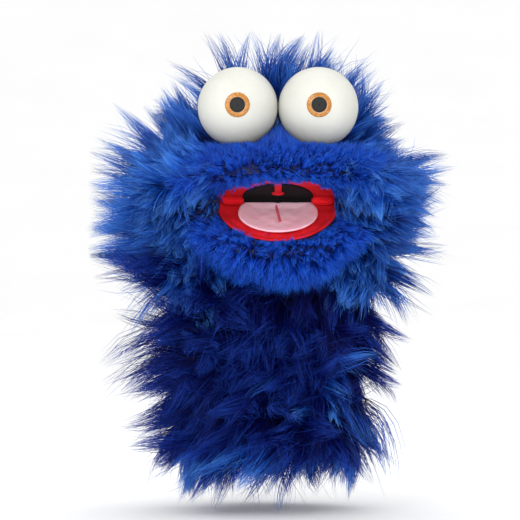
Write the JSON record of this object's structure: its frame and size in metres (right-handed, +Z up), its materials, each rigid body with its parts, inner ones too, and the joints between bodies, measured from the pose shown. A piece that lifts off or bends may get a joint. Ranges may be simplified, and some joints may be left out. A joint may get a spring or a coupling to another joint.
{
  "type": "moving mouth hand puppet",
  "caption": "Shaggy blue monster hand puppet with ball eyes and a hinged felt-lined mouth, worked by a hand through the sleeve.",
  "frame": {"origin": "middle of the hand opening, in the plane of the sleeve's hem", "axes": "+Z up the sleeve towards the crown, -Y the way the face looks, +X towards the side where eye_ball_right sits"},
  "size_m": [0.238, 0.1822, 0.302],
  "materials": {
    "long_fur": "75 mm long-pile faux fur",
    "short_fur": "short-pile plush",
    "lining_cloth": "plain woven cotton",
    "foam": "open-cell polyurethane foam",
    "board": "stiff fibre board",
    "red_felt": "pressed felt",
    "black_felt": "pressed felt",
    "pink_felt": "pressed felt",
    "thread": "stitched thread",
    "cloth_tape": "woven cloth tape",
    "eye_white": "matte moulded",
    "iris": "printed disc",
    "pupil": "printed disc",
    "post_plastic": "moulded"
  },
  "bodies": {
    "sleeve": {"sleeve_lining": "lining_cloth", "sleeve_fur_front": "long_fur", "sleeve_fur_back": "long_fur", "hem_binding": "lining_cloth"},
    "neck_lower": {"neck_fabric_lower": "lining_cloth"},
    "neck_upper": {"neck_fabric_upper": "lining_cloth"},
    "head": {"throat_fabric": "lining_cloth", "head_foam": "foam", "head_fur_crown": "long_fur", "head_fur_left": "long_fur", "head_fur_right": "long_fur", "head_fur_back": "long_fur", "muzzle_pad": "foam", "muzzle_fur": "short_fur", "upper_mouth_board": "board", "upper_mouth_lining": "red_felt", "throat_patch": "black_felt", "uvula": "red_felt", "finger_pocket": "lining_cloth", "mouth_hinge_tape": "cloth_tape", "eye_ball_left": "eye_white", "iris_left": "iris", "pupil_left": "pupil", "eye_post_left": "post_plastic", "eye_lock_washer_left": "post_plastic", "eye_ball_right": "eye_white", "iris_right": "iris", "pupil_right": "pupil", "eye_post_right": "post_plastic", "eye_lock_washer_right": "post_plastic"},
    "jaw": {"lower_mouth_board": "board", "lower_mouth_lining": "red_felt", "tongue": "pink_felt", "tongue_stitch": "thread", "thumb_pocket": "lining_cloth", "chin_pad": "foam", "chin_fur": "short_fur"}
  },
  "joints": [
    {"name": "neck_turn", "type": "hinge", "parent": "sleeve", "child": "neck_lower", "pos_m": [0, 0, 0.086], "axis": [0, 0, 1], "range_deg": [-30, 30]},
    {"name": "neck_nod", "type": "hinge", "parent": "neck_lower", "child": "neck_upper", "pos_m": [0, 0, 0.086], "axis": [1, 0, 0], "range_deg": [-25, 20]},
    {"name": "neck_tilt", "type": "hinge", "parent": "neck_upper", "child": "head", "pos_m": [0, 0, 0.086], "axis": [0, 1, 0], "range_deg": [-18, 18]},
    {"name": "jaw_open", "type": "hinge", "parent": "head", "child": "jaw", "pos_m": [0, -0.022, 0.168], "axis": [1, 0, 0], "range_deg": [-33, 12]}
  ]
}
